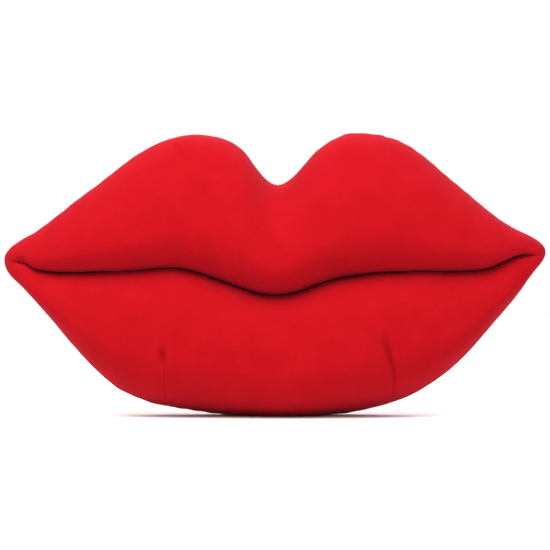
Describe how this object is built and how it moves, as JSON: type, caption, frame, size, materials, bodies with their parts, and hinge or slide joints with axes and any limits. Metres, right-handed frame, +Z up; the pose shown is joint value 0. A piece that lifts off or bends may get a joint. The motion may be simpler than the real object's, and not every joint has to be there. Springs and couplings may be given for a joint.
{
  "type": "lips shaped throw cushion",
  "caption": "Stuffed cushion shaped as a pair of lips, with a zipped cover over an inner pad. It stands on its lower edge.",
  "frame": {"origin": "middle of the flat strip that the cushion stands on, at mid width and mid depth of the bounding box", "axes": "+X from one corner of the mouth to the other, towards the right seen from the front; +Y from the front to the back; +Z up"},
  "size_m": [0.6, 0.1406, 0.3109],
  "materials": {
    "cover_fabric": "matte",
    "red_thread": "matte",
    "zip_tape": "matte",
    "zip_teeth": "satin",
    "zip_metal": "satin",
    "label_fabric": "matte",
    "casing_fabric": "matte",
    "white_thread": "matte",
    "filling": "matte"
  },
  "bodies": {
    "cushion": {"upper_lip_panel": "cover_fabric", "lower_lip_panel": "cover_fabric", "upper_back_panel": "cover_fabric", "lower_back_panel": "cover_fabric", "edge_seam_allowance": "cover_fabric", "mouth_seam_allowance": "cover_fabric", "edge_seam_thread": "red_thread", "mouth_seam_thread": "red_thread", "dart_threads": "red_thread", "zip_tape_upper": "zip_tape", "zip_tape_lower": "zip_tape", "zip_teeth_upper": "zip_teeth", "zip_teeth_lower": "zip_teeth", "zip_top_stops": "zip_metal", "zip_bottom_stop": "zip_metal", "zip_stitching": "red_thread", "care_label": "label_fabric", "pad_casing_front": "casing_fabric", "pad_casing_back": "casing_fabric", "pad_seam_thread": "white_thread", "fibre_filling": "filling"},
    "slider": {"zip_slider": "zip_metal"},
    "pull": {"zip_pull": "zip_metal"}
  },
  "joints": [
    {"name": "zip_slide", "type": "slide", "parent": "cushion", "child": "slider", "axis": [-1, 0, 0], "range_m": [0, 0.3]},
    {"name": "pull_flip", "type": "hinge", "parent": "slider", "child": "pull", "pos_m": [0.154, 0.05906, 0.15], "axis": [0, 0, 1], "range_deg": [-150, 0]}
  ]
}
